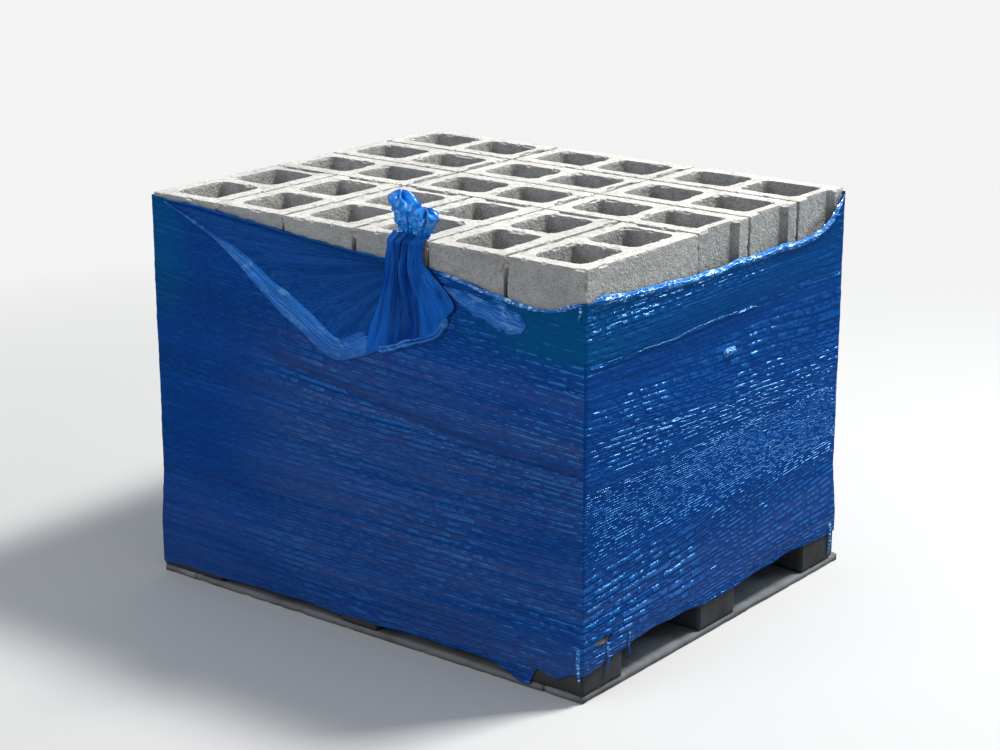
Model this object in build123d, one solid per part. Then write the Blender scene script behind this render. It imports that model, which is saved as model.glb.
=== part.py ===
"""Concrete blocks on a timber block pallet, held by blue stretch film.

Millimetres, +Z up. The origin is on the floor under the middle of the pallet. X runs along the pallet's
long side and Y along its short side. The film's loose end is on the long side that faces -Y. There the
film hangs nearly to the floor, and on the other three sides it leaves the pallet open for the forks.
"""

from build123d import *
from math import cos, radians, sin
import os

# Concrete block: a two-core unit of nominal 8 x 8 x 16 inches, with one plain and one grooved end
BLOCK_LENGTH = 397.0
BLOCK_WIDTH = 194.0
BLOCK_HEIGHT = 194.0
FACE_SHELL = 35.0  # the two long walls, at the block's top
END_WEB = 34.0
MIDDLE_WEB = 33.0
CORE_CORNER = 20.0  # radius between a core's walls
HIDDEN_CORE_CHAMFER = 12.0  # stands for that radius in the courses under the top one
CORE_DRAFT = 0.9  # degrees: a core narrows towards the block's bottom
END_GROOVE_DEPTH = 14.0
END_GROOVE_MOUTH = 122.0
END_GROOVE_FLOOR = 92.0

# Stack: in each course three rows lie lengthwise, and one row stands crosswise beside them
COURSES = 4
ROWS_LENGTHWISE = 3
BLOCKS_IN_ROW = 3
END_GAP = 5.0  # between the ends of two blocks
SIDE_GAP = 6.0  # between the rows
CROSSWISE_GAP = 8.0  # between the long sides of two crosswise blocks
PLAY_SHARE = 0.3  # a block sits up to this share of the smallest gap off its place
PLAY_TURN = 137.5  # degrees between the directions in which one block and the next are off

ROW_LENGTH = BLOCKS_IN_ROW * BLOCK_LENGTH + (BLOCKS_IN_ROW - 1) * END_GAP
CROSSWISE_PITCH = BLOCK_WIDTH + CROSSWISE_GAP
BLOCKS_CROSSWISE = round((ROW_LENGTH + CROSSWISE_GAP) / CROSSWISE_PITCH)
STACK_LENGTH = max(ROW_LENGTH, BLOCKS_CROSSWISE * CROSSWISE_PITCH - CROSSWISE_GAP)
STACK_WIDTH = ROWS_LENGTHWISE * (BLOCK_WIDTH + SIDE_GAP) + BLOCK_LENGTH
PLAY = PLAY_SHARE * min(END_GAP, SIDE_GAP, CROSSWISE_GAP)

# Pallet: nine feet between bottom boards and stringer boards, with deck boards across
PALLET_MARGIN = 8.0  # the pallet stands out this far past the stack
BOARD_THICKNESS = 16.0
FOOT_HEIGHT = 89.0
FOOT_LENGTH = 190.0  # along X, the feet at both ends
MIDDLE_FOOT_LENGTH = 100.0
FOOT_WIDTH = 140.0  # along Y
BOTTOM_BOARD_WIDTH = 100.0
END_BOARD_OVERHANG = 40.0  # of the +X end board past the pallet's +Y side
END_BOARD_ROUNDING = 16.0  # of that board's worn end
DECK_BOARD_WIDTH = 90.0
END_DECK_BOARD_WIDTH = 140.0
DECK_BOARDS = 7
ROWS_OF_FEET = 3
TIMBER_JOINT = 1.0  # between the ends of butted bottom boards

PALLET_LENGTH = STACK_LENGTH + 2 * PALLET_MARGIN
PALLET_WIDTH = STACK_WIDTH + 2 * PALLET_MARGIN
FOOT_TOP = BOARD_THICKNESS + FOOT_HEIGHT
DECK_UNDERSIDE = FOOT_TOP + BOARD_THICKNESS
DECK_TOP = DECK_UNDERSIDE + BOARD_THICKNESS
STACK_TOP = DECK_TOP + COURSES * BLOCK_HEIGHT

# Stretch film: one thin skin round stack and pallet
FILM = 1.2
FILM_CLEARANCE = 0.3
FLARE_HEIGHT = 110.0  # over which the film spreads from the stack to the pallet
EDGE_DEPTH = 8.0  # of the film's top edge under the blocks' tops, at the three far corners
EDGE_DEPTH_AT_TAIL = 50.0
EDGE_DEPTH_MOST = 94.0  # on the -Y side, over the last crosswise block
EDGE_DEPTH_AT_CORNER = 66.0
EDGE_DEPTH_ON_END = 87.0  # along the +X side
HEM_AT_FORKS = 82.0  # height of the film's lower edge on the three sides open to the forks
HEM_ON_SIDE = 27.0  # on the -Y side, where the film hangs over the fork pockets
HEM_AT_CORNER = 62.0

# Loose fold: the film's outermost layer, hanging from the far corner to the tail on the -Y side
FOLD_START = 120.0  # from the far corner
FOLD_START_DEPTH = 48.0
FOLD_TIP = 555.0
FOLD_TIP_DEPTH = 283.0

# Tail: the film's end, gathered in pleats, pulled up the -Y side and standing up past its edge
TAIL_PLACE = 0.625  # share of the stack's length, from the far corner
PLEATS = 7
FAN_WIDTH = 230.0  # where the pleats start
FAN_DEPTH = 225.0  # under the blocks' tops
FAN_RELIEF = 5.0
NECK_WIDTH = 92.0  # where the tail crosses the edge
NECK_RELIEF = 12.0
TUFT_HEIGHT = 94.0
TUFT_WIDTH = 66.0
TUFT_THICKNESS = 44.0
TUFT_LEAN = 16.0  # towards the far corner
PLEAT_VALLEY = 0.72  # share of the tuft's radius left between two pleats

CLEAR = 1000.0  # reach of a cutting body past what it cuts


def box(x0, x1, y0, y1, z0, z1):
    """A box between two corners."""
    size = Box(x1 - x0, y1 - y0, z1 - z0, align=(Align.MIN, Align.MIN, Align.MIN))
    return Pos(x0, y0, z0) * size


def spread(count, half):
    """Places of count pieces, evenly spread from -half to half."""
    return [half * (2 * i / (count - 1) - 1) for i in range(count)]


# Blocks


def block_outline():
    """Plan of a block, with one plain end at -X and a tapered groove in the end at +X."""
    half_length = BLOCK_LENGTH / 2
    half_width = BLOCK_WIDTH / 2
    ear = [
        (half_length - END_GROOVE_DEPTH, END_GROOVE_FLOOR / 2),
        (half_length, END_GROOVE_MOUTH / 2),
        (half_length, half_width),
        (-half_length, half_width),
    ]
    return Polygon(*[(x, -y) for x, y in reversed(ear)], *ear, align=None)


def core(rounded):
    """A core, as the body that it leaves out of the block, with its mouth on Z = 0."""
    length = (BLOCK_LENGTH - 2 * END_WEB - MIDDLE_WEB) / 2
    width = BLOCK_WIDTH - 2 * FACE_SHELL
    body = extrude(Rectangle(length, width), -BLOCK_HEIGHT)
    body = draft(body.faces().filter_by(Axis.Z, reverse=True), Plane.XY, -CORE_DRAFT)
    corners = body.edges().filter_by(Plane.XY, reverse=True)
    if rounded:
        return fillet(corners, CORE_CORNER)
    return chamfer(corners, HIDDEN_CORE_CHAMFER)


def block(rounded):
    """One block, lengthwise on X, with its underside on Z = 0."""
    body = extrude(block_outline(), BLOCK_HEIGHT)
    cell = core(rounded)
    offset = (BLOCK_LENGTH / 2 - END_WEB + MIDDLE_WEB / 2) / 2
    for side in (-1, 1):
        body -= Pos(side * offset, 0, BLOCK_HEIGHT) * cell
    return body


def course_places():
    """Where a course's blocks lie, as x, y and quarter turns: the rows from +Y on, then the crosswise row."""
    places = []
    for row in range(ROWS_LENGTHWISE):
        y = STACK_WIDTH / 2 - BLOCK_WIDTH / 2 - row * (BLOCK_WIDTH + SIDE_GAP)
        for x in spread(BLOCKS_IN_ROW, (ROW_LENGTH - BLOCK_LENGTH) / 2):
            places.append((x, y, 0))
    for x in spread(BLOCKS_CROSSWISE, (BLOCKS_CROSSWISE - 1) * CROSSWISE_PITCH / 2):
        places.append((x, -STACK_WIDTH / 2 + BLOCK_LENGTH / 2, 1))
    return places


def course(number, shape):
    """The blocks of one course. Every second course is turned half round, which bonds the stack."""
    half_turns = (COURSES - number) % 2
    z = DECK_TOP + (number - 1) * BLOCK_HEIGHT
    blocks = []
    for index, (x, y, quarter_turns) in enumerate(course_places()):
        off = radians(PLAY_TURN * (index + number))
        place = Pos(x + PLAY * cos(off), y + PLAY * sin(off), z)
        blocks.append(Rot(0, 0, 180 * half_turns) * place * Rot(0, 0, 90 * quarter_turns) * shape)
    return blocks


# Pallet


def foot_lines():
    """Where the rows of feet stand across the pallet."""
    return spread(ROWS_OF_FEET, PALLET_WIDTH / 2 - FOOT_WIDTH / 2)


def feet():
    """Rows of feet: a long one at both ends and a short one in the middle."""
    half = PALLET_LENGTH / 2
    spans = [
        (-half, -half + FOOT_LENGTH),
        (-MIDDLE_FOOT_LENGTH / 2, MIDDLE_FOOT_LENGTH / 2),
        (half - FOOT_LENGTH, half),
    ]
    edge = FOOT_WIDTH / 2
    for row, y in enumerate(foot_lines(), 1):
        for place, (x0, x1) in enumerate(spans, 1):
            yield f"foot_{row}_{place}", box(x0, x1, y - edge, y + edge, BOARD_THICKNESS, FOOT_TOP)


def bottom_boards():
    """A board under each end, one of them too long, and boards between them under the rows of feet."""
    half = PALLET_LENGTH / 2
    side = PALLET_WIDTH / 2
    inner = half - BOTTOM_BOARD_WIDTH
    yield "bottom_end_board_1", box(-half, -inner, -side, side, 0, BOARD_THICKNESS)
    long_board = box(inner, half, -side, side + END_BOARD_OVERHANG, 0, BOARD_THICKNESS)
    worn_edges = long_board.edges().filter_by(Axis.Z).group_by(Axis.Y)[-1]
    yield "bottom_end_board_2", fillet(worn_edges, END_BOARD_ROUNDING)
    reach = inner - TIMBER_JOINT
    edge = BOTTOM_BOARD_WIDTH / 2
    for number, y in enumerate(spread(ROWS_OF_FEET, side - edge), 1):
        yield f"bottom_board_{number}", box(-reach, reach, y - edge, y + edge, 0, BOARD_THICKNESS)


def stringer_boards():
    """A board along the top of each row of feet."""
    half = PALLET_LENGTH / 2
    edge = FOOT_WIDTH / 2
    for number, y in enumerate(foot_lines(), 1):
        yield f"stringer_board_{number}", box(-half, half, y - edge, y + edge, FOOT_TOP, DECK_UNDERSIDE)


def deck_boards():
    """Boards across the stringer boards, the two at the ends wider."""
    side = PALLET_WIDTH / 2
    ends = PALLET_LENGTH / 2 - END_DECK_BOARD_WIDTH / 2
    for number, x in enumerate(spread(DECK_BOARDS, ends), 1):
        at_end = number in (1, DECK_BOARDS)
        edge = (END_DECK_BOARD_WIDTH if at_end else DECK_BOARD_WIDTH) / 2
        yield f"deck_board_{number}", box(x - edge, x + edge, -side, side, DECK_UNDERSIDE, DECK_TOP)


# Film

FILM_FACE = STACK_WIDTH / 2 + FILM_CLEARANCE + PLAY + FILM  # the film's outside on the -Y side, from the middle
FAR_CORNER = -STACK_LENGTH / 2  # the -X end of the -Y side
TAIL_X = FAR_CORNER + TAIL_PLACE * STACK_LENGTH


def wrapped_body(skin):
    """Stack and pallet as one solid that reaches skin past the film's inside."""
    stack_gap = FILM_CLEARANCE + PLAY + skin
    pallet_gap = FILM_CLEARANCE + skin
    stack = RectangleRounded(STACK_LENGTH + 2 * stack_gap, STACK_WIDTH + 2 * stack_gap, stack_gap)
    pallet = RectangleRounded(PALLET_LENGTH + 2 * pallet_gap, PALLET_WIDTH + 2 * pallet_gap, pallet_gap)
    flare_top = DECK_TOP + FLARE_HEIGHT
    skirt = extrude(pallet, DECK_TOP)
    flare = loft([Pos(0, 0, DECK_TOP) * pallet, Pos(0, 0, flare_top) * stack], ruled=True)
    wall = Pos(0, 0, flare_top) * extrude(stack, STACK_TOP - EDGE_DEPTH - flare_top)
    return skirt + flare + wall


def plan_past(points, limit):
    """Plan between a smooth edge through points, carried on level at both ends, and the height limit past it."""
    (start, start_z), (end, end_z) = points[0], points[-1]
    rim = Polyline(
        points[-1],
        (end + CLEAR, end_z),
        (end + CLEAR, limit),
        (start - CLEAR, limit),
        (start - CLEAR, start_z),
        points[0],
    )
    edge = Spline(*points, tangents=[(1, 0)] * len(points))
    return make_face([edge, *rim.edges()])


def side_cuts():
    """What the film leaves bare on the -Y side, above its top edge and below its lower edge."""
    near = STACK_LENGTH / 2
    top = [
        (FAR_CORNER, STACK_TOP - EDGE_DEPTH),
        (TAIL_X, STACK_TOP - EDGE_DEPTH_AT_TAIL),
        (near - BLOCK_WIDTH / 2, STACK_TOP - EDGE_DEPTH_MOST),
        (near, STACK_TOP - EDGE_DEPTH_AT_CORNER),
    ]
    low = [
        (FAR_CORNER, HEM_ON_SIDE),
        (near - FOOT_LENGTH, HEM_ON_SIDE),
        (near, HEM_AT_CORNER),
    ]
    for points, limit in ((top, STACK_TOP), (low, 0)):
        yield Pos(0, -STACK_WIDTH / 2, 0) * extrude(Plane.XZ * plan_past(points, limit), CLEAR)


def near_end_cuts():
    """What the film leaves bare on the +X side, above its top edge and below its lower edge."""
    near = -STACK_WIDTH / 2
    far = STACK_WIDTH / 2
    top = [
        (near, STACK_TOP - EDGE_DEPTH_AT_CORNER),
        (near + BLOCK_LENGTH, STACK_TOP - EDGE_DEPTH_ON_END),
        (far - BLOCK_WIDTH / 2, STACK_TOP - EDGE_DEPTH_ON_END),
        (far, STACK_TOP - EDGE_DEPTH),
    ]
    low = [(near, HEM_AT_CORNER), (near + FOOT_WIDTH, HEM_AT_FORKS), (far, HEM_AT_FORKS)]
    for points, limit in ((top, STACK_TOP), (low, 0)):
        yield Pos(STACK_LENGTH / 2, 0, 0) * extrude(Plane.YZ * plan_past(points, limit), CLEAR)


def far_cuts():
    """What the film leaves bare below its lower edge on the -X and +Y sides."""
    near = -STACK_WIDTH / 2
    low = [(near, HEM_ON_SIDE), (near + FOOT_WIDTH, HEM_AT_FORKS), (STACK_WIDTH / 2, HEM_AT_FORKS)]
    yield Pos(FAR_CORNER, 0, 0) * extrude(Plane.YZ * plan_past(low, 0), -CLEAR)
    yield box(-CLEAR, CLEAR, STACK_WIDTH / 2, CLEAR, 0, HEM_AT_FORKS)


def loose_fold():
    """The outermost layer on the -Y side, as a hanging triangle between the far corner and the tail."""
    corners = [
        (FAR_CORNER + FOLD_START, STACK_TOP - FOLD_START_DEPTH),
        (FAR_CORNER + FOLD_TIP, STACK_TOP - FOLD_TIP_DEPTH),
        (TAIL_X + NECK_WIDTH / 2, STACK_TOP - FAN_DEPTH),
        (TAIL_X, STACK_TOP - EDGE_DEPTH_AT_TAIL - FAN_RELIEF),
    ]
    return Pos(0, FILM - FILM_FACE, 0) * extrude(Plane.XZ * Polygon(*corners, align=None), 2 * FILM)


def pleated_strip(width, relief, z):
    """Cross-section of the tail on the -Y side: flat against the film, with its pleats outwards."""
    back = FILM / 2 - FILM_FACE
    step = width / (2 * PLEATS)
    points = [(width / 2, back), (-width / 2, back)]
    for i in range(1, 2 * PLEATS):
        points.append((-width / 2 + i * step, back - (relief if i % 2 else relief * PLEAT_VALLEY)))
    return Pos(TAIL_X, 0, z) * Polygon(*points, align=None)


def pleated_oval(width, thickness, lean, z):
    """Cross-section of the tuft over the blocks, with pleats all round."""
    points = []
    for i in range(2 * PLEATS):
        turn = radians(180 * i / PLEATS)
        reach = PLEAT_VALLEY if i % 2 else 1
        points.append((width / 2 * reach * cos(turn), thickness / 2 * reach * sin(turn)))
    place = Pos(TAIL_X - lean, (thickness - NECK_RELIEF) / 2 - FILM_FACE, z)
    return place * Polygon(*points, align=None)


def tail():
    """The film's gathered end: a fan of pleats that narrows up the -Y side into a tuft over the edge."""
    crossing = STACK_TOP + FILM_CLEARANCE + NECK_RELIEF
    fan = loft(
        [
            pleated_strip(FAN_WIDTH, FILM, STACK_TOP - FAN_DEPTH),
            pleated_strip((FAN_WIDTH + NECK_WIDTH) / 2, FAN_RELIEF, STACK_TOP - FAN_DEPTH / 2),
            pleated_strip(NECK_WIDTH, NECK_RELIEF, crossing),
        ],
        ruled=True,
    )
    foot = STACK_TOP + FILM_CLEARANCE
    tuft = loft(
        [
            pleated_oval(TUFT_WIDTH, TUFT_THICKNESS, 0, foot),
            pleated_oval(TUFT_WIDTH * PLEAT_VALLEY, TUFT_THICKNESS * PLEAT_VALLEY, 0, foot + TUFT_HEIGHT / 3),
            pleated_oval(TUFT_WIDTH, TUFT_THICKNESS, TUFT_LEAN, STACK_TOP + TUFT_HEIGHT),
        ],
        ruled=True,
    )
    return fan + tuft


def stretch_film():
    """The whole film: the skin round the load, its loose fold and its tail."""
    skin = wrapped_body(FILM) - wrapped_body(0)
    for cuts in (side_cuts(), near_end_cuts(), far_cuts()):
        for bare in cuts:
            skin -= bare
    return skin + loose_fold() + tail()


def write(name, shape):
    """Save one piece."""
    shape.label = name
    export_step(shape, f"parts/{name}.step")


os.makedirs("parts", exist_ok=True)

for number, piece in enumerate(course(COURSES, block(rounded=True)), 1):
    write(f"top_block_{number:02d}", piece)

hidden_block = block(rounded=False)
for number in range(1, COURSES):
    write(f"course_{number}", Compound(children=course(number, hidden_block)))

for timbers in (feet(), bottom_boards(), stringer_boards(), deck_boards()):
    for name, piece in timbers:
        write(name, piece)

write("stretch_film", stretch_film())
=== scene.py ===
"""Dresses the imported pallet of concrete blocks: rough blocks, weathered timber and rippled stretch film."""

import math
from collections import namedtuple

import bmesh
import bpy
import numpy as np
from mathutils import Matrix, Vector, noise

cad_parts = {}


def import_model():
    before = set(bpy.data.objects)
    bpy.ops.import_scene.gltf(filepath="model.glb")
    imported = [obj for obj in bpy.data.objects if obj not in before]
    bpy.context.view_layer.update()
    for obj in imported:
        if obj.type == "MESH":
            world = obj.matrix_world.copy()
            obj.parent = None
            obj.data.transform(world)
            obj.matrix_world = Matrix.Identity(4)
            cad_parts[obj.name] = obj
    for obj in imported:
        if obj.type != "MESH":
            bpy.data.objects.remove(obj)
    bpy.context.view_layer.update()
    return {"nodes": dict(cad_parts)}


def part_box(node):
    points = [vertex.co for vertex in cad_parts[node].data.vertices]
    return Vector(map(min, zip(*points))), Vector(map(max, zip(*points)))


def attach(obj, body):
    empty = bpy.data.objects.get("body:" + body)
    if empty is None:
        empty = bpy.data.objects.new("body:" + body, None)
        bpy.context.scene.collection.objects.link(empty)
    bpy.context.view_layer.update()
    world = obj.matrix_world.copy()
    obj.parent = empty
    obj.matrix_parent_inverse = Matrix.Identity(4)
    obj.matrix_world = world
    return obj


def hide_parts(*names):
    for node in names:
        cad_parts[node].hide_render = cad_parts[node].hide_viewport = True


# Camera, as it stood when the photograph was taken
CAMERA_PLACE = (3.043, -3.893, 1.941)
CAMERA_AIM = (0.0, 0.0, 0.475)
FOCAL_LENGTH = 80.0
SENSOR_WIDTH = 36.0

# Light and floor. What the film reflects is darker and bluer than what the camera sees.
LAMP_AIM = (0, 0, 0.5)
SKY_STRENGTH = 0.58
SKY, REFLECTED_SKY = (0.86, 0.92, 1.0, 1), (0.45, 0.72, 1.0, 1)
BACKDROP = (0.90, 0.90, 0.90, 1)
FLOOR, REFLECTED_FLOOR = (0.47, 0.47, 0.47, 1), (0.010, 0.024, 0.05, 1)
LIGHTING_FLOOR = (0.36, 0.36, 0.36, 1)  # to all other rays
FLOOR_SIZE = 40
FADE_START, FADE_END = 1.4, 3.4  # how far out the floor fades into the backdrop

# Concrete. Its tops are painted paler than its sides, as if in sunlight, and the pits in its sand are painted
# dark with shade.
GREY_SIDE, SANDY_SIDE = (0.290, 0.292, 0.290, 1), (0.365, 0.360, 0.345, 1)
GREY_TOP_PAINTED_SUNLIT, SANDY_TOP_PAINTED_SUNLIT = (0.47, 0.455, 0.43, 1), (0.61, 0.595, 0.565, 1)
STAIN, PIT_SHADE, PALE_STONE = (0.13, 0.125, 0.118, 1), (0.085, 0.082, 0.078, 1), (0.55, 0.53, 0.49, 1)
REMESH_DEPTH = 6  # of a top block
SAND_HEIGHT = 0.0005
EDGE_WEAR = 0.0007
CHIP_DEPTH = 0.0085

# Timber: dark, pale and silver
GREY_WOOD = (0.055, 0.050, 0.046, 1), (0.160, 0.150, 0.140, 1), (0.185, 0.200, 0.225, 1)
# The feet's brown wood, painted darker and cooler with the shade that falls on them
BROWN_WOOD_PAINTED_SHADE = (0.014, 0.013, 0.012, 1), (0.043, 0.038, 0.033, 1), (0.037, 0.040, 0.047, 1)
WOOD_DIRT = (0.034, 0.031, 0.028, 1)
BOARD_STEP = 0.012  # between the cuts along a board
ROUND_END = 0.016  # of the bottom board that is too long

# Colours and creases of the film, with its painted shade, painted highlights and painted glints, and its dust
# with painted sheen. The heights are shares of the bump's distance.
FILM_SHADE = (0.004, 0.020, 0.085, 1)
# Painted highlight on the crests of the creases
FILM_CREST_HIGHLIGHT = (0.007, 0.128, 0.440, 1)
# Dust, with a painted greyish sheen
FILM_DUST_AND_SHEEN = (0.150, 0.158, 0.250, 1)
# Painted glints: white specks on the film
FILM_PAINTED_GLINT = (0.52, 0.82, 0.98, 1)
FILM_CLEAR = (0.10, 0.42, 0.62, 1)
BLUE_GLOSS, WHITE_GLOSS = (0.06, 0.46, 1.0, 1), (0.8, 0.9, 1.0, 1)
BUMP_DISTANCE = 0.0055
LARGE_ROWS = {"rows": 64.0, "dashes": 27.0, "sway": 0.020}
SMALL_ROWS = {"rows": 128.0, "dashes": 46.0, "sway": 0.011}
LARGE_HEIGHT, SMALL_HEIGHT, WAVE_HEIGHT = 0.36, 0.13, 0.8
PLAIN_FILM = {"rippled": 1.0, "dust_and_sheen": 0.0, "shaded": 0.0, "fine": 0.0}

# Film, in metres. Depths are under the blocks' tops, heights are over the floor.
FRONT, END = 0, 1  # the sides at -Y and +X, which the photo shows; 2 and 3 are at +Y and -X
FILM_RADIUS = 0.004
FLARE_HEIGHT = 0.110
STEP_IN = 0.0080  # of the film on the stack, from the film on the pallet
ROOM_ON_PALLET = 0.0015
ROOM_ON_STACK = (0.0015, 0.0030)  # in x and y
HANG = 0.007  # how far the film hangs in between the feet
FEET = ((0.05, 0.19), (0.07, 0.14))  # reach of a middle and of a corner foot, along a long and a short side
SKIN_ROWS = 120
SKIN_STEPS = (0.009, 0.009, 0.022, 0.022)  # between the skin's columns on each side
# How far the rows of creases sink for each metre, at heights over the floor
TILT_ON_FRONT = [(0.32, 0.0), (0.62, 0.070), (0.913, 0.070)]  # towards the near corner
TILT_ON_END = [(0.08, -0.010), (0.28, -0.078), (0.52, 0.062), (0.74, 0.0)]  # away from it
# Top edges, as (share of the side, depth)
EDGE_ON_FRONT = [(0.0, 0.008), (0.62, 0.050), (0.92, 0.094), (1.0, 0.066)]
EDGE_ON_END = [(0.0, 0.066), (0.4, 0.087), (0.9, 0.087), (1.0, 0.008)]
EDGE_FAR = [(0.0, 0.008), (1.0, 0.008)]
# Lower edges, as (share of the side, height)
HEM_ON_FRONT = [
    (0.0, 0.027), (0.80, 0.036), (0.830, 0.031), (0.878, 0.007), (0.888, 0.008), (0.903, 0.050),
    (0.94, 0.043), (0.97, 0.057), (1.0, 0.060),
]
HEM_ON_END = [(0.0, 0.060), (0.14, 0.080), (0.2, 0.086), (0.55, 0.080), (0.8, 0.088), (1.0, 0.084)]
HEM_FAR = [(0.0, 0.082), (1.0, 0.082)]
HEM_ON_FAR_END = [(0.0, 0.082), (0.86, 0.082), (1.0, 0.027)]
# The small rip low on the +X side, an ellipse
RIP_SHARE, RIP_HALF_SHARE = 0.058, 0.030
RIP_HEIGHT, RIP_HALF_HEIGHT = 0.117, 0.0085
# Painted shade along the edges of turns of film on the -Y side, as (share, height)
UPPER_DARK_EDGE = [
    (0.22, 0.616), (0.334, 0.591), (0.479, 0.560), (0.618, 0.532), (0.751, 0.509), (0.880, 0.494),
    (1.06, 0.490),
]
LOWER_DARK_EDGE = [(0.22, 0.336), (0.326, 0.323), (0.461, 0.307), (0.580, 0.298), (0.660, 0.290)]
DARK_EDGES = [(UPPER_DARK_EDGE, 0.026, 1.0), (LOWER_DARK_EDGE, 0.016, 0.6)]  # with half width and strength
# The tail, to which the loose layer is gathered
TAIL_SHARE = 0.625
TAIL_DEPTH = 0.004
TAIL_INSET = 0.018
TUFT_OFF_TAIL, LOW_TUFT_OFF_TAIL = (-0.012, 0, 0), (0.022, -0.002, 0)
KNOT_DEPTH = 0.064
FAN_LEFT, FAN_RIGHT, FAN_TOP = 0.100, 0.140, 0.050  # half widths of the fan, at its foot and at its top
FAN_RISE = 0.010  # over the blocks' tops
FAN_LEAN = 0.010  # share of the side by which the foot lies to the left
# Routes of (share of the side, depth)
FOLD_BORDER = [  # the loose layer's free edge
    (0.040, 0.016), (0.085, 0.037), (0.137, 0.062), (0.174, 0.085), (0.204, 0.110), (0.231, 0.132),
    (0.255, 0.156), (0.299, 0.193), (0.333, 0.221), (0.373, 0.248), (0.409, 0.272), (0.444, 0.291),
    (0.470, 0.294), (0.497, 0.285), (0.527, 0.271), (0.557, 0.255), (0.604, 0.233), (0.642, 0.219),
    (0.676, 0.203), (0.698, 0.188), (0.718, 0.150), (0.714, 0.113), (0.695, 0.085), (0.675, 0.072),
]
WEDGE_OUTER = FOLD_BORDER[:17]
WEDGE_INNER = [
    (0.040, 0.014), (0.090, 0.034), (0.137, 0.054), (0.185, 0.075), (0.237, 0.101), (0.269, 0.120),
    (0.308, 0.145), (0.351, 0.168), (0.395, 0.196), (0.430, 0.222), (0.467, 0.243), (0.497, 0.233),
    (0.530, 0.205), (0.575, 0.180),
]
FAN_BORDER = [(0.557, 0.252), (0.604, 0.230), (0.642, 0.216), (0.676, 0.200), (0.698, 0.185), (0.716, 0.152)]
FAN_FOOT = [*FOLD_BORDER[13:21], (0.74, 0.120)]
STRIP_OUTER = [(0.706, 0.094), (0.753, 0.124), (0.796, 0.142), (0.838, 0.156), (0.864, 0.155), (0.879, 0.138)]
STRIP_INNER = [(0.706, 0.084), (0.753, 0.091), (0.806, 0.099), (0.848, 0.109), (0.870, 0.119), (0.880, 0.134)]
OVERLAP = [(0.005, 0.203), (0.25, 0.206), (0.5, 0.199), (0.64, 0.202)]
PUCKER = [(0.500, 0.282), (0.520, 0.279), (0.548, 0.280)]
RIM_DEPTH = 0.004  # of the rolled rims, under the film's top edge
BAND_STEP = 0.005  # between the columns of a band
TATTERS = [  # side, width, route
    (FRONT, 0.009, [(0.986, 0.068), (0.990, 0.086), (0.985, 0.104)]),
    (FRONT, 0.012, [(0.992, 0.790), (0.990, 0.830), (0.994, 0.866)]),
    (END, 0.008, [(0.080, 0.800), (0.084, 0.835), (0.080, 0.872)]),
    (END, 0.007, [(0.160, 0.800), (0.157, 0.833), (0.162, 0.856)]),
    (END, 0.011, [(0.975, 0.800), (0.978, 0.850), (0.974, 0.885)]),
]


# Small helpers


def clamped(value):
    """The value, kept between 0 and 1."""
    return min(1.0, max(0.0, value))


def smooth(t):
    """Smooth step from 0 to 1."""
    t = clamped(t)
    return t * t * (3 - 2 * t)


def past(value, edge, width):
    """Smooth step from 0 at an edge to 1 a width past it."""
    return smooth((value - edge) / width)


def along(points, share):
    """Value at a share of a side, level at each of the points."""
    for (s0, v0), (s1, v1) in zip(points, points[1:]):
        if share <= s1:
            return v0 + (v1 - v0) * smooth((share - s0) / (s1 - s0))
    return points[-1][1]


def level(points, height):
    """Value at a height, the same below the first and above the last of the points."""
    return along(points, max(height, points[0][0]))


def grain(*place):
    """Smooth noise from -1 to 1."""
    return noise.noise(Vector(place))


def smooth_route(points, count):
    """Points at even distances along a rounded line through the given ones."""
    ends = [points[0], *points, points[-1]]
    fine = []
    for a, b, c, d in zip(ends, ends[1:], ends[2:], ends[3:]):
        a, b, c, d = (np.array(point) for point in (a, b, c, d))
        for k in range(24):
            t = k / 24
            bend = (2 * a - 5 * b + 4 * c - d) * t * t + (3 * b - a - 3 * c + d) * t**3
            fine.append(b + 0.5 * ((c - a) * t + bend))
    fine.append(np.array(points[-1]))
    fine = np.array(fine)
    run = np.concatenate([[0], np.cumsum(np.hypot(*np.diff(fine, axis=0).T))])
    at = np.linspace(0, run[-1], count)
    return list(zip(np.interp(at, run, fine[:, 0]), np.interp(at, run, fine[:, 1])))


def placed(name, data):
    """An object with the given data, in the scene."""
    piece = bpy.data.objects.new(name, data)
    bpy.context.scene.collection.objects.link(piece)
    return piece


def grid_faces(columns, rows, closed=False):
    """Faces of a grid whose corners are listed column by column."""
    last = columns if closed else columns - 1
    faces = []
    for i in range(last):
        a, b = i * rows, (i + 1) % columns * rows
        faces += [(a + j, b + j, b + j + 1, a + j + 1) for j in range(rows - 1)]
    return faces


def shade_smooth(piece):
    """Shades all faces of a piece smoothly."""
    for face in piece.data.polygons:
        face.use_smooth = True


# Materials


def new_material(name):
    """A material with nodes, and its node tree."""
    material = bpy.data.materials.new(name)
    material.use_nodes = True
    return material, material.node_tree


def fill(tree, node, key, value):
    """Sets a node's input to a value, or links it to a socket."""
    if isinstance(value, bpy.types.NodeSocket):
        tree.links.new(value, node.inputs[key])
    else:
        node.inputs[key].default_value = value


def add(tree, kind, inputs=None, **settings):
    """A shader node, with its settings and its inputs as values or links."""
    node = tree.nodes.new(kind)
    for key, value in settings.items():
        setattr(node, key, value)
    for key, value in (inputs or {}).items():
        fill(tree, node, key, value)
    return node


def attribute(tree, name):
    """The value of one of the film's point attributes."""
    return add(tree, "ShaderNodeAttribute", attribute_name=name).outputs["Fac"]


def scaled(tree, vector, scale):
    """A coordinate times a scale for each axis."""
    return add(tree, "ShaderNodeVectorMath", {0: vector, 1: scale}, operation="MULTIPLY").outputs[0]


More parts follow.
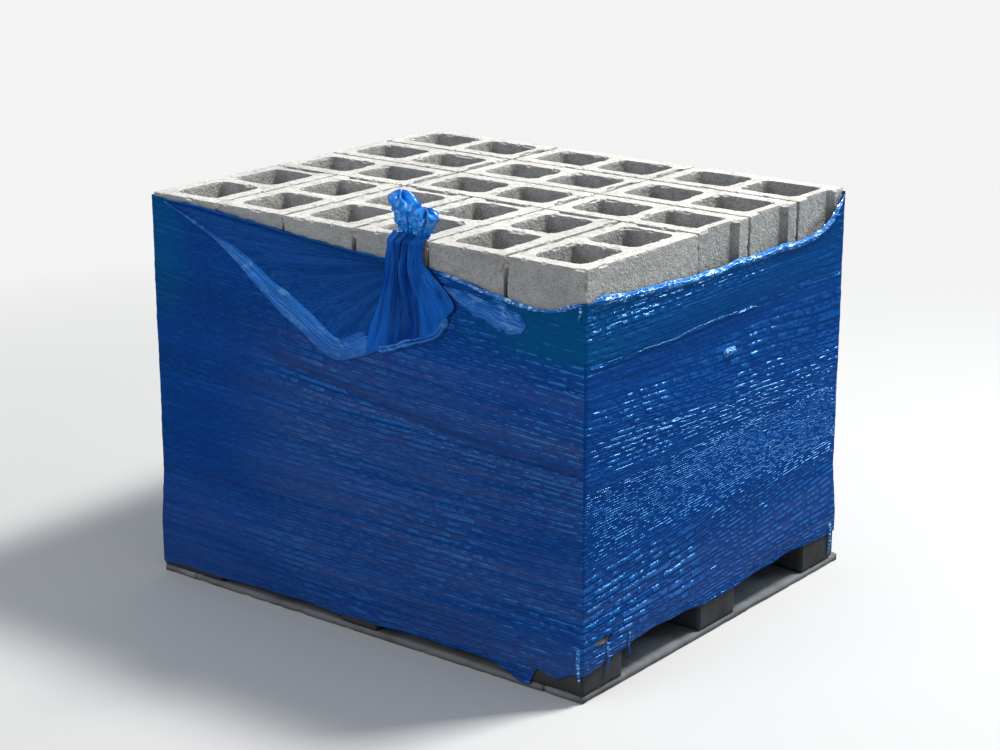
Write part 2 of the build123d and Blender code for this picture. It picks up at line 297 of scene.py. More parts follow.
def noise_texture(tree, vector, scale, detail=4.0, roughness=0.55):
    """Smooth noise from 0 to 1. The scale is one number, or one for each axis."""
    if isinstance(scale, tuple):
        vector, scale = scaled(tree, vector, scale), 1.0
    inputs = {"Vector": vector, "Scale": scale, "Detail": detail, "Roughness": roughness}
    return add(tree, "ShaderNodeTexNoise", inputs).outputs["Fac"]


def ramp(tree, value, low, high, to_low=0.0, to_high=1.0):
    """value, carried from the range low..high to to_low..to_high."""
    inputs = {"Value": value, 1: low, 2: high, 3: to_low, 4: to_high}
    return add(tree, "ShaderNodeMapRange", inputs).outputs[0]


def mixed(tree, share, first, second):
    """Two colours mixed by a share."""
    node = add(tree, "ShaderNodeMix", data_type="RGBA", blend_type="MIX")
    for index, value in ((0, share), (6, first), (7, second)):
        fill(tree, node, index, value)
    return node.outputs[2]


def math_node(tree, operation, a, b=0.0):
    """The result of a mathematical operation on one or two values."""
    return add(tree, "ShaderNodeMath", {0: a, 1: b}, operation=operation).outputs[0]


def product(tree, a, b):
    """a times b."""
    return math_node(tree, "MULTIPLY", a, b)


def total(tree, a, b):
    """a plus b."""
    return math_node(tree, "ADD", a, b)


def coat(tree, color, height, strength, distance, roughness):
    """Gives the surface its colour, its relief and its roughness."""
    surface = tree.nodes["Principled BSDF"]
    bump = add(tree, "ShaderNodeBump", {"Height": height, "Strength": strength, "Distance": distance})
    tree.links.new(color, surface.inputs["Base Color"])
    tree.links.new(bump.outputs[0], surface.inputs["Normal"])
    surface.inputs["Roughness"].default_value = roughness
    return surface


def concrete():
    """Dry-cast concrete: grey and sandy, with stains, with pits painted dark with shade, and painted paler on
    top as if in sunlight.
    """
    material, tree = new_material("concrete")
    place = add(tree, "ShaderNodeTexCoord").outputs["Object"]
    blotches = ramp(tree, noise_texture(tree, place, 6.0, 5.0, 0.6), 0.35, 0.65)
    mottle = ramp(tree, noise_texture(tree, place, 46.0, 4.0, 0.65), 0.36, 0.64)
    sand = noise_texture(tree, place, 380.0, 3.0, 0.7)
    stones = add(tree, "ShaderNodeTexVoronoi", {"Vector": place, "Scale": 150.0}).outputs["Distance"]
    normal = add(tree, "ShaderNodeNewGeometry").outputs["Normal"]
    # Painted sunlight: faces that point up get the paler top colours.
    up = ramp(tree, add(tree, "ShaderNodeSeparateXYZ", {0: normal}).outputs[2], 0.6, 0.95)
    side = mixed(tree, blotches, GREY_SIDE, SANDY_SIDE)
    top = mixed(tree, blotches, GREY_TOP_PAINTED_SUNLIT, SANDY_TOP_PAINTED_SUNLIT)
    color = mixed(tree, up, side, top)
    color = mixed(tree, ramp(tree, mottle, 0.0, 0.6, 0.35, 0.0), color, STAIN)
    # Painted shade in the sand's pits, where the relief is lowest.
    color = mixed(tree, ramp(tree, sand, 0.36, 0.50, 0.65, 0.0), color, PIT_SHADE)
    color = mixed(tree, ramp(tree, stones, 0.0, 0.22, 0.45, 0.0), color, PALE_STONE)
    height = total(tree, sand, product(tree, ramp(tree, stones, 0.0, 0.6), 0.6))
    height = total(tree, height, product(tree, mottle, 0.8))
    surface = coat(tree, color, height, strength=0.9, distance=0.0020, roughness=0.93)
    surface.inputs["Specular IOR Level"].default_value = 0.25
    return material


def timber(name, stretch, dark, pale, silver):
    """Weathered softwood with its grain along the axis whose stretch is smallest."""
    material, tree = new_material(name)
    place = add(tree, "ShaderNodeTexCoord").outputs["Object"]
    lengthwise = scaled(tree, place, stretch)
    fibres = noise_texture(tree, lengthwise, 26.0, 6.0, 0.65)
    streaks = noise_texture(tree, lengthwise, 5.0, 3.0, 0.5)
    dirt = noise_texture(tree, place, 9.0, 5.0, 0.6)
    wood = mixed(tree, ramp(tree, fibres, 0.3, 0.7), dark, pale)
    grey = mixed(tree, ramp(tree, streaks, 0.35, 0.65), wood, silver)
    color = mixed(tree, ramp(tree, dirt, 0.45, 0.7, 0.0, 0.7), grey, WOOD_DIRT)
    surface = coat(tree, color, fibres, strength=0.7, distance=0.0015, roughness=0.85)
    surface.inputs["Specular IOR Level"].default_value = 0.3
    return material


def film(name, deep, pale, ripple=1.0, clear=0.10, roughness=0.15, gloss=BLUE_GLOSS, painted_glints=0.0, glint_spacing=None):
    """Blue stretch film, rippled along its turns. A point attribute says how many layers lie there, and on
    the fan and on the creased strips and bands it also carries painted highlights on ridges.

    deep is its colour in many layers and pale in one, and clear says how much one layer lets through.
    The last two arguments say how white its specks of painted glint are, and how closely they lie along and
    across the turns.
    """
    material, tree = new_material(name)
    wrap = add(tree, "ShaderNodeUVMap", uv_map="wrap").outputs[0]
    cover_and_painted_highlight = attribute(tree, "cover_and_painted_highlight")
    large, small, patches = film_creases(tree, wrap)
    waves = noise_texture(tree, wrap, (1.6, 17.0, 1.0), 3.0, 0.6)
    height = product(tree, large, product(tree, patches, LARGE_HEIGHT))
    height = total(tree, height, product(tree, small, SMALL_HEIGHT))
    height = total(tree, height, product(tree, waves, WAVE_HEIGHT))
    color = mixed(tree, cover_and_painted_highlight, pale, deep)
    color = film_marks(tree, wrap, color, large, small, patches)
    # Painted glints: white specks where the film would glint.
    if painted_glints:
        glint_specks = noise_texture(tree, wrap, glint_spacing, 2.0, 0.6)
        spread = noise_texture(tree, wrap, (14.0, 22.0, 1.0), 2.0, 0.5)
        share = product(tree, ramp(tree, glint_specks, 0.50, 0.62), ramp(tree, spread, 0.42, 0.58, 0.0, painted_glints))
        color = mixed(tree, share, color, FILM_PAINTED_GLINT)
    surface = coat(tree, color, height, 1.0, BUMP_DISTANCE * ripple, roughness)
    surface.inputs["Specular Tint"].default_value = gloss
    see_through = add(tree, "ShaderNodeBsdfTransparent", {"Color": FILM_CLEAR}).outputs[0]
    share = ramp(tree, cover_and_painted_highlight, 0.0, 1.0, clear, 0.0)
    blend = add(tree, "ShaderNodeMixShader", {0: share, 1: surface.outputs[0], 2: see_through})
    tree.links.new(blend.outputs[0], tree.nodes["Material Output"].inputs["Surface"])
    return material


def film_creases(tree, wrap):
    """The film's large and small rows of creases, and the patches in which the large ones stand out."""
    rippled = attribute(tree, "rippled")
    fine = attribute(tree, "fine")
    large = product(tree, dash_rows(tree, wrap, **LARGE_ROWS), rippled)
    large = product(tree, large, ramp(tree, fine, 0.0, 1.0, 1.0, 0.25))
    small = product(tree, dash_rows(tree, wrap, **SMALL_ROWS), rippled)
    small = product(tree, small, ramp(tree, fine, 0.0, 1.0, 1.0, 2.3))
    patches = ramp(tree, noise_texture(tree, wrap, (2.6, 5.5, 1.0), 2.0), 0.40, 0.60, 0.25, 1.0)
    patches = math_node(tree, "MAXIMUM", patches, ramp(tree, rippled, 1.0, 1.25))
    return large, small, patches


def film_marks(tree, wrap, color, large, small, patches):
    """The film's colour with painted shade along its turns, painted highlights on its crests, and its dust
    with painted sheen.
    """
    # Painted shade: darker bands along the turns, and darker edges of turns.
    turns = noise_texture(tree, wrap, (0.7, 8.0, 1.0), 3.0, 0.6)
    shade = product(tree, attribute(tree, "shaded"), 0.62)
    shade = math_node(tree, "MAXIMUM", ramp(tree, turns, 0.3, 0.68, 0.5, 0.0), shade)
    color = mixed(tree, shade, color, FILM_SHADE)
    # Painted highlights: the crests of the creases are painted paler.
    painted_crest_highlights = product(tree, ramp(tree, large, 0.3, 1.0, 0.0, 0.42), patches)
    painted_crest_highlights = total(tree, painted_crest_highlights, product(tree, small, 0.22))
    color = mixed(tree, painted_crest_highlights, color, FILM_CREST_HIGHLIGHT)
    # Dust streaks, and a painted greyish sheen on the -Y side.
    streaks = noise_texture(tree, wrap, (1.3, 46.0, 1.0), 3.0, 0.6)
    dust_and_sheen_share = product(tree, ramp(tree, streaks, 0.34, 0.66, 0.0, 0.165), attribute(tree, "dust_and_sheen"))
    return mixed(tree, dust_and_sheen_share, color, FILM_DUST_AND_SHEEN)


def dash_rows(tree, place, rows, dashes, sway):
    """Low ridges that lie end to end in rows, from 0 between them to 1 on their crests.

    rows and dashes are counts for each metre across and along, and sway is how far a row wanders.
    """
    bend = ramp(tree, noise_texture(tree, place, (2.2, 5.0, 1.0), 2.0), 0.0, 1.0, -sway, sway)
    parts = add(tree, "ShaderNodeSeparateXYZ", {0: place}).outputs
    across = product(tree, total(tree, parts[1], bend), rows)
    row = math_node(tree, "FLOOR", across)
    ridge = math_node(tree, "SINE", product(tree, math_node(tree, "FRACT", across), math.pi))
    along_row = product(tree, parts[0], dashes)
    apart = product(tree, row, 7.31)  # so that the dashes of a row don't follow those of the next
    spot = add(tree, "ShaderNodeCombineXYZ", {0: along_row, 1: apart}).outputs[0]
    mask = ramp(tree, noise_texture(tree, spot, 1.0, 1.0), 0.43, 0.55)
    return product(tree, product(tree, ridge, ridge), mask)


# Blocks and timber


def sharp_remesh(cad, depth):
    """An even mesh of a CAD node that keeps its edges."""
    piece = cad.copy()
    piece.data = piece.data.copy()
    for key in list(piece.keys()):
        del piece[key]
    piece.parent = None
    bpy.context.scene.collection.objects.link(piece)
    modifier = piece.modifiers.new("even", "REMESH")
    modifier.mode = "SHARP"
    modifier.octree_depth = depth
    modifier.scale = 0.98
    modifier.use_remove_disconnected = False
    modifier.use_smooth_shade = False
    shown = piece.evaluated_get(bpy.context.evaluated_depsgraph_get())
    mesh = bpy.data.meshes.new_from_object(shown)
    bpy.data.objects.remove(piece)
    return mesh


def block_wear(vertex):
    """How a point of a block moves: in and out with the sand, and in where an edge is chipped."""
    faces = vertex.link_faces
    if not faces:
        return Vector()
    spread = min(faces[0].normal.dot(face.normal) for face in faces)
    place = vertex.co
    move = vertex.normal * SAND_HEIGHT * grain(*(place * 160))
    if spread < 0.5:
        chip = max(0.0, grain(*(place * 38)) + 0.45 * grain(*(place * 110)) - 0.02)
        move -= vertex.normal * (EDGE_WEAR + CHIP_DEPTH * chip)
    return move


def worn_block(node, cad, material):
    """A concrete block with a sandy skin and chipped edges."""
    mesh = sharp_remesh(cad, REMESH_DEPTH)
    mesh.materials.clear()
    mesh.materials.append(material)
    shape = bmesh.new()
    shape.from_mesh(mesh)
    shape.normal_update()
    moves = [block_wear(vertex) for vertex in shape.verts]
    for vertex, move in zip(shape.verts, moves):
        vertex.co += move
    shape.to_mesh(mesh)
    shape.free()
    piece = placed("worn_" + node, mesh)
    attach(piece, "root")
    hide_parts(node)


def cut_box(low, high):
    """A box that is cut at even steps, more closely across it than along it."""
    shape = bmesh.new()
    bmesh.ops.create_cube(shape, size=1.0)
    size = high - low
    for vertex in shape.verts:
        vertex.co = Vector(low[i] + (vertex.co[i] + 0.5) * size[i] for i in range(3))
    long_axis = max(range(3), key=lambda i: size[i])
    for axis in range(3):
        cuts = int(size[axis] / (BOARD_STEP if axis == long_axis else BOARD_STEP * 0.6))
        for k in range(1, cuts):
            normal = Vector(1.0 if i == axis else 0.0 for i in range(3))
            place = Vector(low[axis] + size[axis] * k / cuts if i == axis else 0.0 for i in range(3))
            geometry = shape.verts[:] + shape.edges[:] + shape.faces[:]
            bmesh.ops.bisect_plane(shape, geom=geometry, plane_co=place, plane_no=normal)
    shape.normal_update()
    return shape


def round_far_end(shape, low, high):
    """Rounds a board's +Y end, seen from above, and lowers it a little at the top."""
    size, middle = high - low, (low + high) / 2
    for vertex in shape.verts:
        beyond = max(0.0, vertex.co.y - high.y + ROUND_END) / ROUND_END
        side = (vertex.co.x - middle.x) / (size.x / 2)
        vertex.co.y -= ROUND_END * beyond * side**4 * (0.8 + 0.2 * side)
        vertex.co.z -= 0.0035 * beyond * beyond * (vertex.co.z > middle.z)


def wear_board(shape, low, high):
    """Rounds and splinters a board's edges, and makes its faces slightly uneven."""
    size, middle = high - low, (low + high) / 2
    for vertex in shape.verts:
        place = vertex.co.copy()
        on_face = [abs(abs(place[i] - middle[i]) - size[i] / 2) < 1e-5 for i in range(3)]
        if sum(on_face) >= 2:
            wear = 0.0012 + 0.004 * max(0.0, grain(*(place * 30)) + 0.3 * grain(*(place * 120)))
            for axis in range(3):
                if on_face[axis]:
                    vertex.co[axis] += wear * (1 if place[axis] < middle[axis] else -1)
        else:
            vertex.co -= vertex.normal * 0.0008 * (1 + grain(*(place * 25)))


def worn_board(node, material, rounded=False):
    """A sawn board or foot with rounded, splintered edges and a slightly uneven face."""
    low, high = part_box(node)
    shape = cut_box(low, high)
    if rounded:
        round_far_end(shape, low, high)
    wear_board(shape, low, high)
    mesh = bpy.data.meshes.new("worn_" + node)
    shape.to_mesh(mesh)
    shape.free()
    mesh.materials.append(material)
    piece = placed("worn_" + node, mesh)
    shade_smooth(piece)
    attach(piece, "root")
    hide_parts(node)


def dress_blocks(nodes):
    """Worn blocks for the top course, and plain concrete for the courses that the film hides."""
    rough = concrete()
    for name, node in nodes.items():
        if name.startswith("course"):
            node.data.materials.clear()
            node.data.materials.append(rough)
        elif name.startswith("top_block"):
            worn_block(name, node, rough)


def dress_timber(nodes):
    """Worn feet and boards for the whole pallet. The feet's wood is painted darker and cooler, with shade."""
    along_x, along_y = (0.06, 1.0, 1.0), (1.0, 0.06, 1.0)
    crosswise = timber("timber_across", along_y, *GREY_WOOD)
    lengthwise = timber("timber_along", along_x, *GREY_WOOD)
    shaded_foot_wood = timber("timber_feet", along_x, *BROWN_WOOD_PAINTED_SHADE)
    for name in nodes:
        if "foot" in name:
            worn_board(name, shaded_foot_wood)
        elif "board" in name:
            across = name.startswith(("deck", "bottom_end"))
            worn_board(name, crosswise if across else lengthwise, rounded=name == "bottom_end_board_2")


# Where the film runs, and how it looks there

Side = namedtuple("Side", "start end outward edge hem")


class Wrap:
    """Where the film runs: round the stack above, and round the pallet below."""

    def __init__(self):
        film_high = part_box("stretch_film")[1]
        deck_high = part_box("deck_board_1")[1]
        self.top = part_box("top_block_01")[1].z
        self.deck = deck_high.z
        self.pallet = Vector((film_high.x, deck_high.y + ROOM_ON_PALLET))
        stack_x = film_high.x - STEP_IN + ROOM_ON_STACK[0]
        stack_y = deck_high.y - STEP_IN + ROOM_ON_STACK[1]
        self.stack = Vector((stack_x, stack_y))
        self.length = 2 * self.stack.x
        self.width = 2 * self.stack.y
        self.sides = [
            Side((-1, -1), (1, -1), (0, -1), EDGE_ON_FRONT, HEM_ON_FRONT),
            Side((1, -1), (1, 1), (1, 0), EDGE_ON_END, HEM_ON_END),
            Side((1, 1), (-1, 1), (0, 1), EDGE_FAR, HEM_FAR),
            Side((-1, 1), (-1, -1), (-1, 0), EDGE_FAR, HEM_ON_FAR_END),
        ]

    def run(self, side):
        """Length of a side."""
        return self.width if side % 2 else self.length

    def spread(self, z):
        """0 at the deck and below, 1 where the film lies on the stack."""
        return clamped((z - self.deck) / FLARE_HEIGHT)

    def point(self, side, share, z):
        """A point on the film's plain surface and its outward direction."""
        start, end, normal = self.sides[side][:3]
        half = self.pallet.lerp(self.stack, self.spread(z))
        x = (start[0] + (end[0] - start[0]) * share) * half.x
        y = (start[1] + (end[1] - start[1]) * share) * half.y
        outward = Vector((normal[0], normal[1], 0))
        edge = min(share, 1 - share) * self.run(side)
        if edge < FILM_RADIUS:
            turn = 1 - edge / FILM_RADIUS
            near = start if share < 0.5 else end
            corner = Vector((near[0], near[1], 0)).normalized()
            outward = outward.lerp(corner, turn).normalized()
            inward = FILM_RADIUS * 0.3 * turn
            return Vector((x, y, z)) - outward * inward, outward
        return Vector((x, y, z)), outward


def side_shares(run, step):
    """Shares of a side: close together at its corners, and step apart between them."""
    corner = [0.0, FILM_RADIUS * 0.3 / run, FILM_RADIUS / run, 2.5 * FILM_RADIUS / run]
    count = int(run / step)
    inner = [corner[-1] + (1 - 2 * corner[-1]) * k / count for k in range(1, count)]
    return corner + inner + [1 - c for c in reversed(corner[1:])]


def sag(wrap, side, share, z):
    """How far the film moves out, which is less than 0 where it hangs in between the feet."""
    if z > wrap.deck:
        return 0.0
    run = wrap.run(side)
    middle_foot, corner_foot = FEET[side % 2]
    place = abs(share - 0.5) * run
    between = past(place, middle_foot, 0.06) * smooth((run / 2 - corner_foot - place) / 0.06)
    return -HANG * between * smooth((wrap.deck - z) / 0.10)


def relief(s, v):
    """Outward relief of the stretched film: creases along the turns, and the edges of the turns."""
    creases = 0.0011 * abs(grain(s * 3.0, v * 30.0, 3.7)) + 0.0007 * grain(s * 9.0, v * 70.0, 9.1)
    turns = 0.0006 * (math.floor(v * 5.3 + 0.4 * grain(s * 0.8, 1.0, 0.0)) % 2)
    return 0.0008 + creases + turns


def wrap_uv(wrap, side, share, z):
    """Distance along the turns of film from the first corner, and height across them."""
    before = (0.0, wrap.length, wrap.length + wrap.width, 2 * wrap.length + wrap.width)[side]
    on_front = wrap.length * (share if side == FRONT else 1)
    on_end = wrap.width * (0, share, 1, 1)[side]
    rise = level(TILT_ON_FRONT, z) * on_front + level(TILT_ON_END, z) * on_end
    return before + share * wrap.run(side), z + rise


def near_corner(share, depth):
    """From 0 to 1 in the upper part of the -Y side, towards the near corner."""
    return past(share, 0.72, 0.2) * (1 - past(depth, 0.17, 0.06))


def cover_at(wrap, side, share, z):
    """How many layers lie there, from 0 for one to 1 for many."""
    depth = wrap.top - z
    if side == FRONT:
        far = (1 - past(share, 0.02, 0.10)) * (1 - past(depth, 0.20, 0.12))
        return 1 - 0.95 * max(near_corner(share, depth), 0.8 * far)
    if side == END:
        top_band = 1 - past(depth, 0.195, 0.012)
        return 1 - top_band * (0.70 - 0.40 * smooth(share / 0.3))
    return 0.9


def rippled_at(wrap, side, share, z):
    """How strongly the rows of creases show there: 0.5 where the film is smooth, over 1 where they glint."""
    if side == FRONT:
        return rippled_on_front(share, z, wrap.top - z)
    if side == END:
        return rippled_on_end(share, z, wrap.top - z)
    return 0.8


def rippled_on_front(share, z, depth):
    """The same on the -Y side, where a bright row runs under the upper dark edge."""
    under = np.interp(share, *zip(*UPPER_DARK_EDGE)) - z
    bright = 0.35 * smooth(under / 0.02) * (1 - past(under, 0.035, 0.03)) * past(share, 0.25, 0.1)
    calm = 0.55 * shaded_at(FRONT, share, z)
    rows = 0.50 + 0.50 * past(share, 0.10, 0.32)
    return rows * (1 - 0.6 * near_corner(share, depth)) * (1 - calm) + bright


def rippled_on_end(share, z, depth):
    """The same on the +X side, where the strongest of its parts counts."""
    upper = 0.60 + 0.06 * smooth(share / 0.8)
    belt = 1.15 * past(z, 0.43, 0.06) * (1 - past(z, upper, 0.06)) * (0.7 + 0.3 * smooth(share / 0.15))
    line = 1.15 * (1 - smooth(abs(depth - 0.198) / 0.018)) * past(share, 0.55, 0.15)
    rim = 1.15 * (1 - past(depth, 0.13, 0.05)) * (1 - past(share, 0.60, 0.25))
    foot = 1.45 * at_foot(share, z)
    low = 0.95 * (1 - past(z, 0.43, 0.06))
    return max(0.50, belt, line, rim, foot, low)


def at_foot(share, z):
    """From 0 to 1 in the coarsely creased part low on the +X side, by the near corner."""
    return past(z, 0.08, 0.04) * (1 - past(z, 0.26, 0.06)) * (1 - past(share, 0.35, 0.2))


def fine_at(side, share, z):
    """How much the rows of creases are finer there, from 0 to 1."""
    return (1 - past(z, 0.42, 0.06)) * (1 - at_foot(share, z)) if side == END else 0.0


def shaded_at(side, share, z):
    """How much painted shade lies along the edges of the turns there, from 0 to 1."""
    if side != FRONT:
        return 0.0
    dark = 0.0
    for route, half, strength in DARK_EDGES:
        shares, heights = zip(*route)
        off = abs(z - np.interp(share, shares, heights)) / half
        ends = past(share, shares[0], 0.12) * (1 - smooth((share - shares[-1] + 0.06) / 0.06))
        dark = max(dark, strength * ends * (1 - smooth(off)))
    return dark


def dust_and_sheen_at(side, share, z):
    """How much dust and painted greyish sheen the film gets there, from 0 to 1."""
    low = 1 - past(z, 0.10, 0.25)
    if side == FRONT:
        return max(0.8 * low, past(share, 0.12, 0.3) * (1 - past(z, 0.62, 0.10)))
    return 0.9 * low


# Pieces of film


def film_piece(name, material, vertices, faces, uvs, cover_and_painted_highlight, **looks):
    """A smooth piece of film, with what its material reads: the place along and across the turns, how many
    layers lie there together with any highlights painted on ridges, and the looks in which it isn't plain."""
    mesh = bpy.data.meshes.new(name)
    mesh.from_pydata(vertices, [], faces)
    mesh.materials.append(material)
    piece = placed(name, mesh)
    layer = mesh.uv_layers.new(name="wrap")
    for loop in mesh.loops:
        layer.data[loop.index].uv = uvs[loop.vertex_index]
    plain = {look: [value] * len(cover_and_painted_highlight) for look, value in PLAIN_FILM.items()}
    for look, values in {"cover_and_painted_highlight": cover_and_painted_highlight, **plain, **looks}.items():
        mesh.attributes.new(look, "FLOAT", "POINT").data.foreach_set("value", values)
    shade_smooth(piece)
    return piece


def skin_edges(wrap, side, share, s):
    """Heights of the skin's lower edge, which is torn by the near corner, and of its top edge."""
    torn = (past(share, 0.8, 0.2), smooth((0.3 - share) / 0.3), 0.0, 0.0)[side]
    low = along(wrap.sides[side].hem, share) + 0.004 * grain(s * 14, 0.5, 2.0)
    low += 0.010 * torn * grain(s * 33, 1.5, 2.0)
    high = wrap.top - along(wrap.sides[side].edge, share) + 0.0025 * grain(s * 40, 4.5, 2.0)
    return low, high


def film_skin(wrap, material):
    """The film round the load, from its hem to its top edge."""
    vertices, uvs, cover_and_painted_highlight, rippled, dust_and_sheen, shaded, fine = [], [], [], [], [], [], []
    columns = 0
    travelled = 0.0
    for side, step in enumerate(SKIN_STEPS):
        run = wrap.run(side)
        for share in side_shares(run, step)[:-1]:
            s = travelled + share * run
            low, high = skin_edges(wrap, side, share, s)
            for j in range(SKIN_ROWS):
                z = low + (high - low) * j / (SKIN_ROWS - 1)
                place, outward = wrap.point(side, share, z)
                uv = wrap_uv(wrap, side, share, z)
                vertices.append(place + outward * (relief(s, uv[1]) + sag(wrap, side, share, z)))
                uvs.append(uv)
                cover_and_painted_highlight.append(cover_at(wrap, side, share, z))
                rippled.append(rippled_at(wrap, side, share, z))
                dust_and_sheen.append(dust_and_sheen_at(side, share, z))
                shaded.append(shaded_at(side, share, z))
                fine.append(fine_at(side, share, z))
            columns += 1
        travelled += run
    faces = grid_faces(columns, SKIN_ROWS, closed=True)
    faces = [face for face in faces if not in_rip(wrap, vertices[face[0]])]
    looks = {"rippled": rippled, "dust_and_sheen": dust_and_sheen, "shaded": shaded, "fine": fine}
    return film_piece("film_skin", material, vertices, faces, uvs, cover_and_painted_highlight, **looks)


def in_rip(wrap, place):
    """Whether a point lies in the small rip near the front corner of the +X side."""
    if place.x < wrap.stack.x - 0.001 or abs(place.y) > wrap.stack.y:
        return False
    share = (place.y + wrap.stack.y) / wrap.width
    across = (share - RIP_SHARE) / RIP_HALF_SHARE
    up = (place.z - RIP_HEIGHT - 0.004 * grain(place.y * 60, 0.0, 1.0)) / RIP_HALF_HEIGHT
    return across * across + up * up < 1


def loose_fold(wrap, material):
    """The loose outer layer on the -Y side. It is drawn to the tail, and hangs from it in a V."""
    vertices, uvs, cover_and_painted_highlight = [], [], []
    columns, rows = 190, 60
    for i, (share, depth) in enumerate(smooth_route(FOLD_BORDER, columns)):
        u = i / (columns - 1)
        ragged = 0.004 * grain(u * 26, 0.3, 0.8)
        reach = math.hypot((share - TAIL_SHARE) * wrap.length, depth - KNOT_DEPTH)
        for j in range(rows):
            q = j / (rows - 1)
            s = TAIL_SHARE + (share - TAIL_SHARE) * q
            d = KNOT_DEPTH + (depth + ragged - KNOT_DEPTH) * q
            d = max(d, along(EDGE_ON_FRONT, s) + 0.001)
            place, outward = wrap.point(FRONT, s, wrap.top - d)
            length = reach * q
            pleat = abs(grain(u * 11, length * 3.2, 6.0)) + 0.35 * abs(grain(u * 30, length * 5, 1.0))
            loose = smooth(q * 3) * (1 - 0.55 * smooth((0.22 - u) / 0.22))
            pleats = 0.0085 * loose * (0.25 + pleat) * (0.45 + 0.55 * q)
            lift = 0.0022 + pleats * (1 - 0.6 * past(q, 0.8, 0.2))
            vertices.append(place + outward * lift)
            uvs.append((length * 1.3, u * 2.4))
            cover_and_painted_highlight.append(0.75 + 0.25 * pleat)
    return film_piece("film_fold", material, vertices, grid_faces(columns, rows), uvs, cover_and_painted_highlight)


def tail_fan(wrap, material):
    """Pleats that rise on the -Y side and gather where the tail crosses the edge."""
    vertices, uvs, cover_and_painted_highlight = [], [], []
    columns, rows = 210, 90
    shares, depths = zip(*FAN_FOOT)
    for i in range(columns):
        a = 2 * i / (columns - 1) - 1
        wide = FAN_LEFT if a < 0 else FAN_RIGHT
        foot = np.interp(TAIL_SHARE + a * wide / wrap.length - FAN_LEAN, shares, depths) - 0.004
        for j in range(rows):
            t = j / (rows - 1)
            half = wide - (wide - FAN_TOP) * smooth(t * 1.35) + 0.004 * grain(a * 2, t * 6, 0.0)
            share = TAIL_SHARE + a * half / wrap.length - FAN_LEAN * (1 - t)
            z = wrap.top - foot * (1 - t) + FAN_RISE * t
            place, outward = wrap.point(FRONT, share, z)
            over = past(t, 0.93, 0.07) * 0.022
            bent = a + 0.16 * grain(a * 1.5, t * 2.4, 2.0)
            ridge = abs(grain(bent * 3.4, t * 1.5, 4.0)) * 1.5 + 0.45 * abs(grain(bent * 10.0, t * 3.6, 8.0))
            base = 0.003 + 0.0045 * (1 - smooth(t / 0.6))
            body = (0.002 + 0.011 * smooth(t * 1.2)) * (1 - 0.8 * a * a)
            pleats = (0.002 + 0.011 * smooth(t * 1.5)) * ridge
            vertices.append(place + outward * (base + body + pleats - over))
            uvs.append((z * 0.8, a * 0.55))
            # Painted highlights: the pleats' ridges are painted paler; the fan's thinner sides are paler too.
            pale = 0.8 * ridge + 0.6 * past(abs(a), 0.28, 0.3) + 0.4 * grain(a * 3, t * 3, 7.0)
            cover_and_painted_highlight.append(clamped(1.15 - pale))
    return film_piece("film_fan", material, vertices, grid_faces(columns, rows), uvs, cover_and_painted_highlight)


def tuft(name, material, foot, width, height, lean, seed):
    """A crumpled bunch of film over the edge, narrow at its foot and flared at its end."""
    vertices, uvs, cover_and_painted_highlight = [], [], []
    columns, rows = 150, 80
    for i in range(columns):
        turn = 2 * math.pi * i / columns
        around = Vector((math.cos(turn), math.sin(turn)))
        for j in range(rows):
            t = j / (rows - 1)
            girth = 0.60 + 0.55 * smooth(t * 1.15) - 0.12 * smooth((0.2 - t) / 0.2)
            close = math.sqrt(max(0.0, 1 - max(0.0, (t - 0.74) / 0.26) ** 2))
            sharp = 1 - 2 * abs(grain(around.x * 2.4, around.y * 2.4, t * 1.3 + seed))
            finer = 1 - 2 * abs(grain(around.x * 6.5, around.y * 6.5, t * 3.4 + seed))
            crumple = grain(around.x * 3, around.y * 3 + seed, t * 7)
            crumple += 0.5 * grain(around.x * 8, around.y * 8, t * 15)
            r = width / 2 * (girth + 0.26 * sharp + 0.15 * finer + 0.20 * crumple)
            r *= 0.04 + 0.96 * close
            dip = abs(grain(around.x * 1.5, around.y * 1.5, seed + 4))
            x = foot.x + r * around.x + lean[0] * t * t
            y = foot.y + 0.66 * r * around.y + lean[1] * t
            z = foot.z + height * t * (1 - 0.40 * dip * (1 - close * 0.3))
            vertices.append(Vector((x, y, z)))
            uvs.append((t * height * 2, turn * width * 0.6))
            cover_and_painted_highlight.append(0.55 + 0.45 * abs(crumple))
    return film_piece(name, material, vertices, grid_faces(columns, rows, closed=True), uvs, cover_and_painted_highlight)


